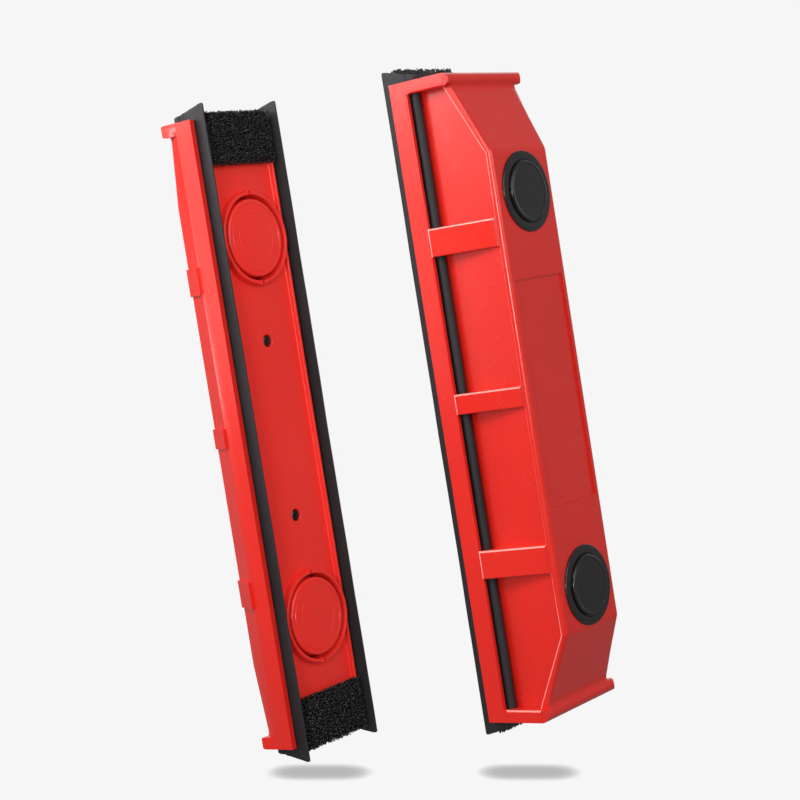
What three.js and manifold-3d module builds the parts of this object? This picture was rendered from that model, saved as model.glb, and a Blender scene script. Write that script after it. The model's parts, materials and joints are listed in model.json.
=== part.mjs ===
// Magnetic glass cleaner: two wiper halves that face each other through a pane.
// Millimetres, +Z up along the length of both halves. Each half is drawn in its own frame:
//   x across the half, y = 0 at the glass edge of its side rails with +y towards the glass,
//   so depth away from the glass is -y, and z along its length, centred.
// The front half keeps the directions of this frame. The rear half is the same design, slimmer
// and turned 180 degrees about Z, so that it faces the front half.
import * as THREE from 'three';
import { mergeVertices } from 'three/addons/utils/BufferGeometryUtils.js';
import Module from 'manifold-3d';

// ---- The two halves ----
// depth: rails to outer face; rampLow: depth at the foot of the end slopes; flange: depth of the
// end flanges; ribProud: ribs beyond the side face; ribStop: ribs short of the outer face.
const FRONT = { depth: 43, rampLow: 28.6, flange: 31.2, windows: true, ribProud: 0.8, ribStop: 3.2 };
const REAR = { depth: 21.6, rampLow: 15.6, flange: 18.4, windows: false, ribProud: 1.4, ribStop: 0.5 };
const SIDE_STEP = 23.9;        // front half moved to +x, rear half to -x
const FRONT_Y = -26.15;        // glass edge of the front half's rails
const REAR_Y = 47.55;          // glass edge of the rear half's rails

// ---- Shell ----
const LENGTH = 280;            // over the end flanges
const RAIL_X = 28;             // half width over the side rails
const RAIL_T = 2.1;
const RAIL_H = 9;              // away from the glass
const CROWN_X = 21.3;          // half width of the outer face
const RAMP_Z = 104;            // where the outer face starts to slope to the ends
const RAMP_END_Z = 135;        // where the slope meets the end flange
const BODY_Z = RAMP_END_Z + 0.5;   // half length of the box, overlapping the flanges
const BORDER = 3;              // frame border along the outer edges
const WALL_X = 21;             // outside of the box walls
const WALL_T = 1.7;
const SKIN_T = 2.4;            // wall of the outer face
const END_WALL_T = 2.4;
const RIBS = [                 // side ribs, in order along z
  { z: -70.3, halfWidth: 6.1 },
  { z: 0, halfWidth: 4.4 },
  { z: 70.3, halfWidth: 6.1 },
];
const RIB_ROOT_X = WALL_X - 1; // ribs start inside the box wall
const RIB_ROOT_Y = -13;
const FLANGE_T = 5.5;
const FLANGE_X = 28.4;         // half width over the end flanges
const FLANGE_CORNER = 1.2;     // chamfer at the outer corners
const FLANGE_EDGE = 3;         // where the full width is reached, from the outer edge
const NOTCH_X = 21.5;          // half width of the notch in each flange's glass edge
const NOSE_R = FLANGE_T / 2;   // full round on the outer edge of a flange
const NOSE_Z = LENGTH / 2 - NOSE_R;
const NOSE_STEPS = 8;
const FILLET_R = 3.2;          // hollow where a slope runs up into its flange
const FILLET_STEPS = 7;
const LABEL = { halfX: 18, halfZ: 49, depth: 0.9 };    // blank recess in the outer face
const POST_R = 3.6;            // screw posts
const POST_BORE_DEPTH = 9.5;   // from the back of the plate

// ---- Base plate ----
const SEAT_GAP = 0.3;          // round and behind the plate
const PLATE_Y = -0.6;          // glass-side face
const PLATE_T = 2.6;
const PLATE_BACK = PLATE_Y - PLATE_T;
const SEAT_Y = PLATE_BACK - SEAT_GAP;
const PLATE_Z = RAMP_END_Z - SEAT_GAP;
const PLATE_ROOT = 1;          // how far raised parts reach into the plate
const RIM_X = 19.6, RIM_Y = 1.6;                                    // rims along the plate
const RING = { inner: 19, outer: 21, y: 2.6, slit: 1.5, chamfer: 0.5 };   // round the magnets
const GUIDE = { inner: 17.9, outer: 19, endY: -11.8 };              // tubes behind the plate
const GROOVE_DEPTH = 1.4;      // gap round each magnet cup

// ---- Magnet stacks, plugs and screws ----
const MAGNET_Z = 86;           // magnets, from the middle
const MAGNET_R = 15.9, MAGNET_T = 9.6;
const MAGNET_Y = 0.5;          // glass-side face of the magnet
const DISC_T = 2.8, DISC_GAP = 0.2;
const CUP = { r: 17.5, y: 2.5, chamfer: 0.9, boreGap: 0.3, floorY: 0.7, backY: -13.6, rimR: 18.8, rimT: 1.2 };
const PLUG_HOLE_R = 16;
const PLUG = {
  r: 17.5, proud: 0.8, seatGap: 0.05,                  // disc over the hole
  bossR: 13, bossProud: 2, bossChamfer: 1.2,           // raised middle
  skirtR: PLUG_HOLE_R - 0.25, boreR: PLUG_HOLE_R - 1.8, skirtDepth: 5, floorDepth: 1.2,
};
const SCREW_Z = 39.7;          // screws, from the middle
const SCREW = { headR: 2.5, shankR: 1.2, topY: PLATE_Y - 0.3, neckY: PLATE_Y - 1.5, shankDepth: 7, tipDepth: 8 };

// ---- Squeegees and pads ----
const BEAD_X = 23.6, BEAD_Y = -10.3, BEAD_R = 2;
const CHANNEL = { inward: 1.6, outward: 1.7, beadGap: 0.3 };        // slot about the bead's x
const WEB_T = 2, WEB_Y = -0.4;
const RIDGE = { proud: 0.45, topY: [-7.2, -6.8], lowY: [-6.2, -5.8] };   // ridge on the outer face of the web
const LIP = { rootT: 1.7, rootY: -0.1, tipX: 24.1, tipY: 5.6, tipT: 0.9, chamfer: 0.3 };
const ROOT_END = 142.2;        // half length at the back of the bead
const LIP_END = 146.8;         // half length at the lip's tip
const PAD_Z0 = 119.5, PAD_LENGTH = 25, PAD_X = 20.9, PAD_Y = 3.6;

// ---- Segments and cutter sizes ----
const ROUND_SEG = 28, MAGNET_SEG = 24, BEAD_SEG = 14, POST_SEG = 14, SCREW_SEG = 12;
const PAST = 9;                // how far a cutter runs past what it cuts
const BIG = 400;               // beyond the whole product

// ---- Materials ----
const material = ({ color, roughness, metalness = 0 }) =>
  new THREE.MeshStandardMaterial({ color, roughness, metalness, flatShading: true });
const RED = material({ color: 0xd8281f, roughness: 0.32 });
const RED_DEEP = material({ color: 0xc63028, roughness: 0.38 });
const BLACK = material({ color: 0x2b2829, roughness: 0.45 });
const RUBBER = material({ color: 0x2e2d2f, roughness: 0.6 });
const PAD = material({ color: 0x0e0e0f, roughness: 0.95 });
const NICKEL = material({ color: 0xb9bbbd, roughness: 0.25, metalness: 1 });
const STEEL = material({ color: 0x8f9296, roughness: 0.4, metalness: 1 });

// ---- Solids and meshes ----
const wasm = await Module();
wasm.setup();

// Welds a closed geometry and hands it to Manifold without its collapsed triangles.
function solid(geometry) {
  for (const name of Object.keys(geometry.attributes)) {
    if (name !== 'position') geometry.deleteAttribute(name);
  }
  const welded = mergeVertices(geometry, 1e-5);
  const index = welded.index.array;
  const triangles = [];
  for (let i = 0; i < index.length; i += 3) {
    const [a, b, c] = [index[i], index[i + 1], index[i + 2]];
    if (a !== b && b !== c && a !== c) triangles.push(a, b, c);
  }
  return new wasm.Manifold(new wasm.Mesh({
    numProp: 3,
    vertProperties: Float32Array.from(welded.attributes.position.array),
    triVerts: Uint32Array.from(triangles),
  }));
}

function geometryOf(body) {
  const out = body.getMesh();
  const geometry = new THREE.BufferGeometry();
  const positions = Float32Array.from(out.vertProperties);
  geometry.setAttribute('position', new THREE.BufferAttribute(positions, 3));
  geometry.setIndex(Array.from(out.triVerts));
  geometry.computeVertexNormals();
  return geometry;
}

function meshOf(name, geometry, surface, z = 0) {
  const mesh = new THREE.Mesh(geometry, surface);
  mesh.name = name;
  mesh.position.z = z;
  return mesh;
}

const extruded = (points, depth) => {
  const outline = new THREE.Shape(points.map(([a, b]) => new THREE.Vector2(a, b)));
  return new THREE.ExtrudeGeometry(outline, { depth, bevelEnabled: false });
};
// A section in x and y, drawn out along z.
const alongZ = (points, z0, z1) => solid(extruded(points, z1 - z0).translate(0, 0, z0));
// A profile in z and y, drawn out along x.
const alongX = (points, x0, x1) =>
  solid(extruded(points, x1 - x0).rotateY(-Math.PI / 2).translate(x1, 0, 0));
const boxGeometry = (x0, x1, y0, y1, z0, z1) =>
  new THREE.BoxGeometry(x1 - x0, y1 - y0, z1 - z0)
    .translate((x0 + x1) / 2, (y0 + y1) / 2, (z0 + z1) / 2);
const block = (...limits) => solid(boxGeometry(...limits));
// A counter-clockwise profile of [radius, y], turned about a line along y.
const turned = (points, z = 0, segments = ROUND_SEG) => {
  const profile = points.map(([radius, y]) => new THREE.Vector2(radius, y));
  return solid(new THREE.LatheGeometry(profile, segments).translate(0, 0, z));
};
const rod = (radius, y0, y1, z = 0, segments = ROUND_SEG) =>
  turned([[0, y0], [radius, y0], [radius, y1], [0, y1]], z, segments);
// A round bar along z on the line of the squeegee bead.
const beadBar = (radius, length) =>
  solid(new THREE.CylinderGeometry(radius, radius, length, BEAD_SEG)
    .rotateX(Math.PI / 2).translate(BEAD_X, BEAD_Y, 0));

const symmetric = (points) => points.concat(points.map(([x, y]) => [-x, y]).reverse());
const onBothSides = (body) => body.add(body.mirror([1, 0, 0]));
const atBothEnds = (body) => body.add(body.mirror([0, 0, 1]));
// Points [z, y] of an arc whose centre is given as [z, depth].
const arc = ([z, depth], radius, from, to, steps) =>
  Array.from({ length: steps + 1 }, (_, k) => {
    const angle = from + (to - from) * k / steps;
    return [z + radius * Math.cos(angle), -(depth + radius * Math.sin(angle))];
  });

// ---- Shell: a hollow box with a ladder frame down each side ----
const slopeOf = (design) => (design.depth - design.rampLow) / (RAMP_END_Z - RAMP_Z);

const sectionOf = (design) =>
  symmetric([[RAIL_X, 0], [RAIL_X, -RAIL_H], [CROWN_X, -design.depth]]);

// Outside profile in z and y, set in from the outer face and the slopes, open end at glassY.
function outerProfile(design, zEnd, inset, glassY) {
  const slope = slopeOf(design);
  const rampInset = inset * Math.hypot(1, slope);
  const endY = -(design.depth - rampInset - slope * (zEnd - RAMP_Z));
  const kneeZ = RAMP_Z - (rampInset - inset) / slope;
  const faceY = -(design.depth - inset);
  return [[-zEnd, glassY], [-zEnd, endY], [-kneeZ, faceY], [kneeZ, faceY], [zEnd, endY], [zEnd, glassY]];
}

// Side pockets between the ribs, leaving the rail and the border.
function cutWindows(body, design) {
  const ribEdges = RIBS.flatMap(({ z, halfWidth }) => [z - halfWidth, z + halfWidth]);
  const edges = [-RAMP_END_Z, ...ribEdges, RAMP_END_Z];
  const outerX = RAIL_X + PAST;
  const behindRail = alongX(outerProfile(design, BODY_Z, BORDER, -RAIL_H), WALL_X, outerX);
  for (let i = 0; i < edges.length; i += 2) {
    const [z0, z1] = [edges[i], edges[i + 1]];
    const window = behindRail.intersect(block(0, outerX, -BIG, PAST, z0, z1))
      .add(block(WALL_X, RAIL_X - RAIL_T, -RAIL_H - 1, PAST, z0, z1));
    body = body.subtract(onBothSides(window));
  }
  return body;
}

// Ribs stand a little proud of the side face and stop short of the outer face.
function addRibs(body, { depth, ribProud, ribStop }) {
  const sideRun = Math.hypot(RAIL_X - CROWN_X, depth - RAIL_H);
  const proudX = (depth - RAIL_H) / sideRun * ribProud;
  const proudY = (RAIL_X - CROWN_X) / sideRun * ribProud;
  const endX = RAIL_X - (RAIL_X - CROWN_X) * (depth - ribStop - RAIL_H) / (depth - RAIL_H);
  const endY = -depth + ribStop;
  const section = [
    [RIB_ROOT_X, RIB_ROOT_Y],
    [RAIL_X - 2, -RAIL_H + 0.6],
    [RAIL_X + proudX - 0.1, -RAIL_H - proudY + 0.3],
    [endX + proudX, endY - proudY + 0.4],
    [endX - 0.2, endY - proudY - 0.4],
    [RIB_ROOT_X, endY - 0.2],
  ];
  for (const { z, halfWidth } of RIBS) {
    body = body.add(onBothSides(alongZ(section, z - halfWidth, z + halfWidth)));
  }
  return body;
}

// End flanges, wider than the box and standing out past the foot of the slopes.
function addFlanges(body, { flange: depth }) {
  const section = symmetric([[RAIL_X, 0], [RAIL_X, -RAIL_H], [FLANGE_X, -depth + FLANGE_EDGE],
    [FLANGE_X, -depth + FLANGE_CORNER], [FLANGE_X - FLANGE_CORNER, -depth]]);
  const [z0, z1] = [LENGTH / 2 - FLANGE_T, LENGTH / 2];
  const nose = arc([NOSE_Z, depth - NOSE_R], NOSE_R, 0, Math.PI, NOSE_STEPS);
  const flange = alongZ(section, z0, z1).intersect(alongX([[z0, 1], [z1, 1], ...nose], -BIG, BIG));
  const notch = block(-NOTCH_X, NOTCH_X, PLATE_Y, PAST, z0 - 1, z1 + 1);
  return body.add(atBothEnds(flange)).subtract(atBothEnds(notch));
}

// A hollow arc, tangent to the slope and to the nose, carries each slope up into its flange.
function addFillets(body, design) {
  const slope = slopeOf(design);
  const slant = Math.hypot(1, slope);
  const noseDepth = design.flange - NOSE_R;
  // Nose centre from the end of the slope: over the slope line, and along it.
  const [dz, rise] = [NOSE_Z - RAMP_END_Z, noseDepth - design.rampLow];
  const over = (dz * slope + rise) / slant;
  const along = (dz - rise * slope) / slant;
  const footAlong = along - Math.sqrt((FILLET_R + NOSE_R) ** 2 - (FILLET_R - over) ** 2);
  const footZ = RAMP_END_Z + footAlong / slant;
  const footDepth = design.rampLow - footAlong * slope / slant;
  const centre = [footZ + FILLET_R * slope / slant, footDepth + FILLET_R / slant];
  const from = Math.atan2(footDepth - centre[1], footZ - centre[0]);
  const to = Math.atan2(noseDepth - centre[1], NOSE_Z - centre[0]);
  const profile = [
    ...arc(centre, FILLET_R, from, to, FILLET_STEPS),
    [NOSE_Z, -noseDepth],
    [NOSE_Z, -design.rampLow + 1.4],   // the last two lie inside the body
    [footZ, -footDepth + 1.2],
  ];
  const fillet = alongX(profile, -BIG, BIG).intersect(alongZ(sectionOf(design), -LENGTH, LENGTH));
  return body.add(atBothEnds(fillet));
}

// Hollow inside, open to the glass side, with a seat for the base plate.
function hollowOut(body, design) {
  const innerX = WALL_X - WALL_T;
  const [seatX, seatZ] = [WALL_X + SEAT_GAP, PLATE_Z + SEAT_GAP];
  return body
    .subtract(alongX(outerProfile(design, RAMP_END_Z - END_WALL_T, SKIN_T, PAST), -innerX, innerX))
    .subtract(block(-seatX, seatX, SEAT_Y, PAST, -seatZ, seatZ));
}

// Squeegee channels along both sides, out through the end flanges.
function cutChannels(body) {
  const channel = block(BEAD_X - CHANNEL.inward, BEAD_X + CHANNEL.outward, BEAD_Y, PAST, -BIG, BIG)
    .add(beadBar(BEAD_R + CHANNEL.beadGap, LENGTH + 60));
  return body.subtract(onBothSides(channel));
}

// Plug holes and the blank recess in the outer face.
function cutOuterFace(body, { depth }) {
  for (const z of [-MAGNET_Z, MAGNET_Z]) {
    body = body.subtract(rod(PLUG_HOLE_R, -depth - PAST, -depth + 8, z));
  }
  const { halfX, halfZ, depth: recess } = LABEL;
  return body.subtract(block(-halfX, halfX, -depth - PAST, -depth + recess, -halfZ, halfZ));
}

function addScrewPosts(body, { depth }) {
  for (const z of [-SCREW_Z, SCREW_Z]) {
    body = body.add(rod(POST_R, -depth + SKIN_T - 0.5, SEAT_Y, z, POST_SEG))
      .subtract(rod(SCREW.shankR + 0.3, PLATE_BACK - POST_BORE_DEPTH, PAST, z, SCREW_SEG));
  }
  return body;
}

function shell(design) {
  let body = alongZ(sectionOf(design), -BODY_Z, BODY_Z)
    .intersect(alongX(outerProfile(design, BODY_Z, 0, 0), -BIG, BIG));
  if (design.windows) body = cutWindows(body, design);
  body = addRibs(body, design);
  body = addFlanges(body, design);
  body = addFillets(body, design);
  body = hollowOut(body, design);
  body = cutChannels(body);
  body = cutOuterFace(body, design);
  return addScrewPosts(body, design);
}

// ---- Base plate: rims, split rings round the magnets and guide tubes behind ----
function splitRing(z) {
  const { inner, outer, y, slit, chamfer } = RING;
  const rootY = PLATE_Y - PLATE_ROOT;
  return turned([[inner, rootY], [outer, rootY], [outer, y - chamfer], [outer - chamfer, y],
    [inner, y], [inner, rootY]], z)
    .subtract(block(-slit / 2, slit / 2, PLATE_Y, PAST, z - 30, z + 30));
}

// A guide tube with a thick wall, bored out together with the plate.
function guideTube(z) {
  const rootY = PLATE_BACK + PLATE_ROOT;
  const inner = GUIDE.inner - 1;
  return turned([[inner, rootY], [inner, GUIDE.endY], [GUIDE.outer, GUIDE.endY],
    [GUIDE.outer, rootY], [inner, rootY]], z);
}

function plate() {
  const magnetPlaces = [-MAGNET_Z, MAGNET_Z];
  const rimEnd = PAD_Z0 - 0.3;   // the rims stop at the pads and at the rings
  let rim = block(RIM_X, WALL_X, PLATE_Y - PLATE_ROOT, RIM_Y, -rimEnd, rimEnd);
  for (const z of magnetPlaces) {
    rim = rim.subtract(rod((RING.inner + RING.outer) / 2, -BIG, BIG, z));
  }
  let body = block(-WALL_X, WALL_X, PLATE_BACK, PLATE_Y, -PLATE_Z, PLATE_Z).add(onBothSides(rim));
  for (const z of magnetPlaces) {
    body = body.add(splitRing(z))
      .add(guideTube(z))
      .subtract(rod(GUIDE.inner, GUIDE.endY - PAST, PAST, z))
      .subtract(rod(RING.inner, PLATE_Y - GROOVE_DEPTH, PAST, z));
  }
  for (const z of [-SCREW_Z, SCREW_Z]) {
    body = body.subtract(rod(SCREW.headR + 0.3, PLATE_Y - 1.6, PAST, z, POST_SEG))
      .subtract(rod(SCREW.shankR + 0.4, PLATE_BACK - PAST, PAST, z, SCREW_SEG));
  }
  return body;
}

// ---- Turned parts, each about its own axis along y ----
function cup() {
  const { r, y, chamfer, floorY, backY, rimR, rimT } = CUP;
  const boreR = MAGNET_R + CUP.boreGap;
  return turned([[0, floorY], [boreR, floorY], [boreR, backY - rimT], [rimR, backY - rimT],
    [rimR, backY], [r, backY], [r, y - chamfer], [r - chamfer, y], [0, y]]);
}

const magnet = () => rod(MAGNET_R, MAGNET_Y - MAGNET_T, MAGNET_Y, 0, MAGNET_SEG);

function disc() {
  const y = MAGNET_Y - MAGNET_T - DISC_GAP;
  return rod(MAGNET_R, y - DISC_T, y, 0, MAGNET_SEG);
}

function plug({ depth }) {
  const { r, proud, seatGap, bossR, bossProud, bossChamfer, skirtR, boreR } = PLUG;
  const profile = [   // [radius, y from the outer face]
    [0, -bossProud], [bossR - bossChamfer, -bossProud], [bossR, -proud],
    [r, -proud], [r, -seatGap], [skirtR, -seatGap], [skirtR, PLUG.skirtDepth],
    [boreR, PLUG.skirtDepth], [boreR, PLUG.floorDepth], [0, PLUG.floorDepth],
  ];
  return turned(profile.map(([radius, y]) => [radius, y - depth]));
}

function screw() {
  const { headR, shankR, topY, neckY, shankDepth, tipDepth } = SCREW;
  return turned([[0, PLATE_BACK - tipDepth], [shankR, PLATE_BACK - shankDepth], [shankR, neckY],
    [headR, neckY], [headR, topY], [0, topY]], 0, SCREW_SEG);
}

// ---- Squeegee on the +x side: a beaded root held in the channel, and a thin lip ----
// Trims both to ends that slope out from the bead to the lip's tip.
function trimEnds(body) {
  const backY = BEAD_Y - BEAD_R;
  const endAt = (y) => ROOT_END + (LIP_END - ROOT_END) * (y - backY) / (LIP.tipY - backY);
  const [y0, y1] = [-20, 10];
  const profile = [[-endAt(y0), y0], [endAt(y0), y0], [endAt(y1), y1], [-endAt(y1), y1]];
  return body.intersect(alongX(profile, 0, 60));
}

function squeegeeRoot() {
  const [innerX, outerX] = [BEAD_X - WEB_T / 2, BEAD_X + WEB_T / 2];
  const ridgeX = outerX + RIDGE.proud;
  const [y0, y1] = RIDGE.topY;
  const [y2, y3] = RIDGE.lowY;
  const web = [[innerX, WEB_Y], [innerX, BEAD_Y], [outerX, BEAD_Y],
    [outerX, y0], [ridgeX, y1], [ridgeX, y2], [outerX, y3], [outerX, WEB_Y]];
  return trimEnds(alongZ(web, -LIP_END, LIP_END).add(beadBar(BEAD_R, 2 * LIP_END)));
}

function squeegeeLip() {
  const { rootT, rootY, tipX, tipY, tipT, chamfer } = LIP;
  const outerX = tipX + tipT / 2;
  const section = [[BEAD_X - rootT / 2, rootY], [BEAD_X + rootT / 2, rootY],
    [outerX, tipY - chamfer], [outerX - chamfer, tipY], [tipX - tipT / 2, tipY]];
  return trimEnds(alongZ(section, -LIP_END, LIP_END));
}

// ---- Pad across one end of the plate; end is 1 for upper and -1 for lower ----
const padGeometry = (end) =>
  boxGeometry(-PAD_X, PAD_X, PLATE_Y + 0.3, PAD_Y, -PAD_LENGTH / 2, PAD_LENGTH / 2)
    .translate(0, 0, end * (PAD_Z0 + PAD_LENGTH / 2));

// ---- One half ----
function half(label, design) {
  const group = new THREE.Group();
  const put = (name, body, surface, z) =>
    group.add(meshOf(`${label}_${name}`, geometryOf(body), surface, z));
  put('shell', shell(design), RED);
  put('base_plate', plate(), RED_DEEP);
  for (const [name, end] of [['upper', 1], ['lower', -1]]) {
    const z = end * MAGNET_Z;
    put(`magnet_cup_${name}`, cup(), RED_DEEP, z);
    put(`magnet_${name}`, magnet(), NICKEL, z);
    put(`backing_disc_${name}`, disc(), STEEL, z);
    put(`plug_${name}`, plug(design), BLACK, z);
    put(`screw_${name}`, screw(), STEEL, end * SCREW_Z);
    group.add(meshOf(`${label}_pad_${name}`, padGeometry(end), PAD));
  }
  // Left is -x in the half's own frame.
  for (const side of ['left', 'right']) {
    const placed = (body) => (side === 'left' ? body.mirror([1, 0, 0]) : body);
    put(`squeegee_root_${side}`, placed(squeegeeRoot()), RUBBER);
    put(`squeegee_lip_${side}`, placed(squeegeeLip()), RUBBER);
  }
  return group;
}

const object = new THREE.Group();
const front = half('front', FRONT);
front.position.set(SIDE_STEP, FRONT_Y, 0);
const rear = half('rear', REAR);
rear.position.set(-SIDE_STEP, REAR_Y, 0);
rear.rotation.z = Math.PI;
object.add(front, rear);

export default object;
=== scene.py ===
import json
import math

import bmesh
import bpy
import numpy as np
from mathutils import Matrix, Vector

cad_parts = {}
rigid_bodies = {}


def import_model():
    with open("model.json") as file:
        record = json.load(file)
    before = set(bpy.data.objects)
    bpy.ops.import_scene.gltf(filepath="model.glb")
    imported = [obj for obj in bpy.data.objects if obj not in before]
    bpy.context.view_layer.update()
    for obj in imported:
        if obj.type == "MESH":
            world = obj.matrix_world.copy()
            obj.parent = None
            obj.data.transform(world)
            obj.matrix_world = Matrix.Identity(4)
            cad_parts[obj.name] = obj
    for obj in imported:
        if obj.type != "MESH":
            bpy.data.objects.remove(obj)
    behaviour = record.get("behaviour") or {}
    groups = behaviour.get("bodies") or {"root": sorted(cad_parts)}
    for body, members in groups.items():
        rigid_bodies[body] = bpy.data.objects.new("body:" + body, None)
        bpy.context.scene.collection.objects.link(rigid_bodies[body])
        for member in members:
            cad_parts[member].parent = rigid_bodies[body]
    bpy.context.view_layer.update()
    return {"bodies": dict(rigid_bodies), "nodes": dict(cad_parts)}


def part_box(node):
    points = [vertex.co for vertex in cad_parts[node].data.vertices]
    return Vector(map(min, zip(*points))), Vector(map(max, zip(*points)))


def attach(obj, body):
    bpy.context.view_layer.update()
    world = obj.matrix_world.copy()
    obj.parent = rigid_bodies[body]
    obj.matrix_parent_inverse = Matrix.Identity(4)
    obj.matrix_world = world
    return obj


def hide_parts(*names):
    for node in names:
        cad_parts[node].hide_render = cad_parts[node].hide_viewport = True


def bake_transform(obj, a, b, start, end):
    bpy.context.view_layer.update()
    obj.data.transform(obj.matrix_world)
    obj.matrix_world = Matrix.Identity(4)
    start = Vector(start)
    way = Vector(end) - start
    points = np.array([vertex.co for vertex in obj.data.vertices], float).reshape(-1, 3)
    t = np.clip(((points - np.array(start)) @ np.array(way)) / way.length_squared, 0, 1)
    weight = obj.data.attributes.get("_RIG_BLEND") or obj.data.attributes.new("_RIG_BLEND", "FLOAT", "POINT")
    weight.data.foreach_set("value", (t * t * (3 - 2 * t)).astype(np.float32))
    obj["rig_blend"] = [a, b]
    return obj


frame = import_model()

MM = 0.001


# ---------------------------------------------------------------- places, all from the CAD boxes
class Half:
    """One wiper half. Local millimetres: x across, y = 0 at the rails' glass edge and + towards the glass, z along."""

    def __init__(self, label, turned):
        self.label = label
        lo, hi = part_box(label + "_shell")
        self.turned = turned
        self.ox = (lo.x + hi.x) / 2 / MM
        self.oy = (lo.y if turned else hi.y) / MM
        self.depth = (hi.y - lo.y) / MM
        s = -1 if turned else 1
        self.matrix = Matrix(((s * MM, 0, 0, self.ox * MM), (0, s * MM, 0, self.oy * MM), (0, 0, MM, 0), (0, 0, 0, 1)))

    def point(self, x, y, z=0.0):
        return self.matrix @ Vector((x, y, z))

    def body(self, part):
        return self.label + "_" + part


FRONT = Half("front", False)
REAR = Half("rear", True)
HALVES = (FRONT, REAR)
ENDS = (("upper", 1), ("lower", -1))
SIDES = (("left", -1), ("right", 1))
MAGNET_Z = (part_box("front_magnet_upper")[0].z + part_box("front_magnet_upper")[1].z) / 2 / MM
SCREW_Z = (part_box("front_screw_upper")[0].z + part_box("front_screw_upper")[1].z) / 2 / MM


# ---------------------------------------------------------------- materials
class Nodes:
    def __init__(self, name):
        self.mat = bpy.data.materials.new(name)
        self.mat.use_nodes = True
        self.tree = self.mat.node_tree
        self.tree.nodes.clear()
        self.out = self.add("ShaderNodeOutputMaterial")
        self.place = self.add("ShaderNodeTexCoord").outputs["Object"]

    def add(self, kind, **props):
        n = self.tree.nodes.new(kind)
        for k, v in props.items():
            setattr(n, k, v)
        return n

    def link(self, a, b):
        self.tree.links.new(a, b)

    def put(self, socket, value):
        if isinstance(value, bpy.types.NodeSocket):
            self.link(value, socket)
        elif isinstance(value, (tuple, list)) and len(value) == 3 and len(socket.default_value) == 4:
            socket.default_value = (*value, 1.0)
        else:
            socket.default_value = value

    def scaled(self, sx, sy, sz):
        m = self.add("ShaderNodeMapping")
        self.link(self.place, m.inputs["Vector"])
        m.inputs["Scale"].default_value = (sx, sy, sz)
        return m.outputs["Vector"]

    def noise(self, scale, detail=3.0, rough=0.5, vector=None, distortion=0.0):
        n = self.add("ShaderNodeTexNoise")
        self.link(vector or self.place, n.inputs["Vector"])
        n.inputs["Scale"].default_value = scale
        n.inputs["Detail"].default_value = detail
        n.inputs["Roughness"].default_value = rough
        n.inputs["Distortion"].default_value = distortion
        return n.outputs["Fac"]

    def ramp(self, fac, *stops):
        n = self.add("ShaderNodeValToRGB")
        self.link(fac, n.inputs["Fac"])
        e = n.color_ramp.elements
        while len(e) < len(stops):
            e.new(0.5)
        for k, (at, colour) in enumerate(stops):
            e[k].position = at
            e[k].color = (*colour, 1.0) if isinstance(colour, tuple) else (colour, colour, colour, 1.0)
        return n.outputs["Color"]

    def spread(self, value, low, high, to_low, to_high):
        n = self.add("ShaderNodeMapRange")
        self.link(value, n.inputs["Value"])
        for k, v in (("From Min", low), ("From Max", high), ("To Min", to_low), ("To Max", to_high)):
            n.inputs[k].default_value = v
        return n.outputs["Result"]

    def mix(self, fac, a, b, mode="MIX"):
        n = self.add("ShaderNodeMix", data_type="RGBA", blend_type=mode)
        self.put(n.inputs[0], fac)
        self.put(n.inputs[6], a)
        self.put(n.inputs[7], b)
        return n.outputs[2]

    def sum(self, a, b, op="ADD"):
        n = self.add("ShaderNodeMath", operation=op)
        self.put(n.inputs[0], a)
        self.put(n.inputs[1], b)
        return n.outputs[0]

    def bump(self, height, strength, distance, normal=None):
        n = self.add("ShaderNodeBump")
        n.inputs["Strength"].default_value = strength
        n.inputs["Distance"].default_value = distance
        self.link(height, n.inputs["Height"])
        if normal:
            self.link(normal, n.inputs["Normal"])
        return n.outputs["Normal"]

    def finish(self, **values):
        p = self.add("ShaderNodeBsdfPrincipled")
        for k, v in values.items():
            self.put(p.inputs[k.replace("_", " ")], v)
        self.link(p.outputs[0], self.out.inputs["Surface"])
        return self.mat


def moulded_red(name, base, deep, rough, coat):
    """Glossy moulded plastic: slow colour drift, faint flow marks, specks, orange peel and handling haze."""
    n = Nodes(name)
    drift = n.noise(14.0, 3.0, 0.5)
    flow = n.noise(26.0, 4.0, 0.55, n.scaled(1.0, 1.0, 0.22), 0.6)
    colour = n.mix(n.spread(drift, 0.35, 0.68, 0.0, 1.0), base, deep)
    colour = n.mix(n.spread(flow, 0.45, 0.75, 0.0, 0.16), colour, tuple(min(1.0, c * 1.2 + 0.004) for c in base))
    specks = n.noise(2600.0, 1.0, 0.4)
    colour = n.mix(n.spread(specks, 0.70, 0.78, 0.0, 0.25), colour, tuple(c * 0.62 for c in deep))
    haze = n.noise(60.0, 5.0, 0.6)
    smears = n.noise(38.0, 3.0, 0.5, n.scaled(1.4, 1.0, 0.35), 1.2)
    r = n.spread(haze, 0.3, 0.72, rough - 0.035, rough + 0.06)
    r = n.sum(r, n.spread(smears, 0.52, 0.72, 0.0, 0.05))
    peel = n.bump(n.noise(420.0, 2.0, 0.5), 0.10, 0.00006)
    grain = n.bump(n.noise(5200.0, 2.0, 0.6), 0.12, 0.00002, peel)
    return n.finish(Base_Color=colour, Roughness=r, Normal=grain, IOR=1.46, Coat_Weight=coat, Coat_Roughness=0.10, Coat_IOR=1.45)


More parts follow.
